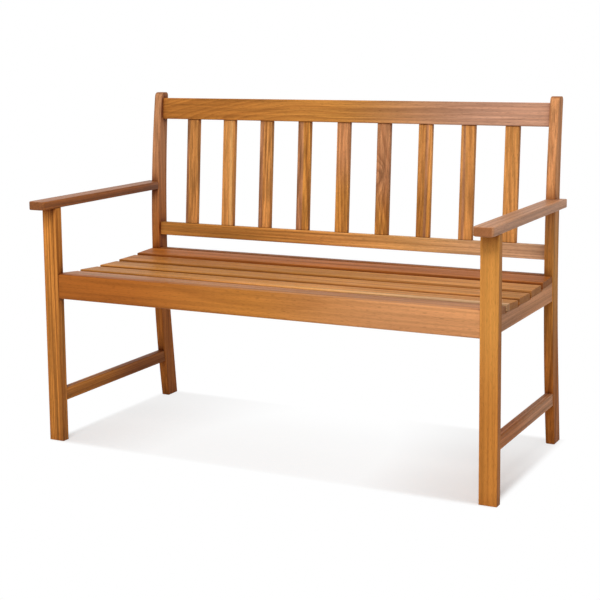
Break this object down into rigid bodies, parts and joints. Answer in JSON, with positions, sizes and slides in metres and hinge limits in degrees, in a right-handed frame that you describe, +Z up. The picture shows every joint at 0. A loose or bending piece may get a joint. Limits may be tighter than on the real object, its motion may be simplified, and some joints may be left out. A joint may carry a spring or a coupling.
{
  "type": "garden bench",
  "caption": "Slatted wooden garden bench for two, with flat armrests, a dished seat and an upright-slat back on curved rear legs.",
  "frame": {"origin": "on the ground, under the middle of the bench's length and depth", "axes": "+X along the bench towards its right-hand end seen from the front, +Y towards the back, +Z up"},
  "size_m": [1.2, 0.5949, 0.863],
  "materials": {
    "leg_wood": "oiled, satin",
    "arm_wood": "oiled, satin",
    "seat_slat_wood": "oiled, satin",
    "back_slat_wood": "oiled, satin",
    "back_rail_wood": "oiled, satin",
    "frame_wood": "oiled, satin",
    "dowel_beech": "raw turned wood",
    "screw_steel": "satin zinc-plated"
  },
  "bodies": {
    "root": {"front_leg_left": "leg_wood", "front_leg_right": "leg_wood", "rear_leg_left": "leg_wood", "rear_leg_right": "leg_wood", "armrest_left": "arm_wood", "armrest_right": "arm_wood", "side_rail_left": "frame_wood", "side_rail_right": "frame_wood", "stretcher_left": "frame_wood", "stretcher_right": "frame_wood", "front_apron": "frame_wood", "rear_seat_rail": "frame_wood", "seat_support": "frame_wood", "top_back_rail": "back_rail_wood", "bottom_back_rail": "back_rail_wood", "seat_slat_1": "seat_slat_wood", "seat_slat_2": "seat_slat_wood", "seat_slat_3": "seat_slat_wood", "seat_slat_4": "seat_slat_wood", "seat_slat_5": "seat_slat_wood", "back_slat_1": "back_slat_wood", "back_slat_2": "back_slat_wood", "back_slat_3": "back_slat_wood", "back_slat_4": "back_slat_wood", "back_slat_5": "back_slat_wood", "back_slat_6": "back_slat_wood", "back_slat_7": "back_slat_wood", "back_slat_8": "back_slat_wood", "back_slat_9": "back_slat_wood", "apron_dowels": "dowel_beech", "side_rail_front_dowels": "dowel_beech", "side_rail_rear_dowels": "dowel_beech", "stretcher_dowels": "dowel_beech", "rear_rail_dowels": "dowel_beech", "top_rail_dowels": "dowel_beech", "bottom_rail_dowels": "dowel_beech", "arm_post_dowels": "dowel_beech", "arm_back_dowels": "dowel_beech", "seat_support_dowels": "dowel_beech", "seat_screws_left": "screw_steel", "seat_screws_right": "screw_steel", "seat_screws_centre": "screw_steel"}
  },
  "joints": []
}
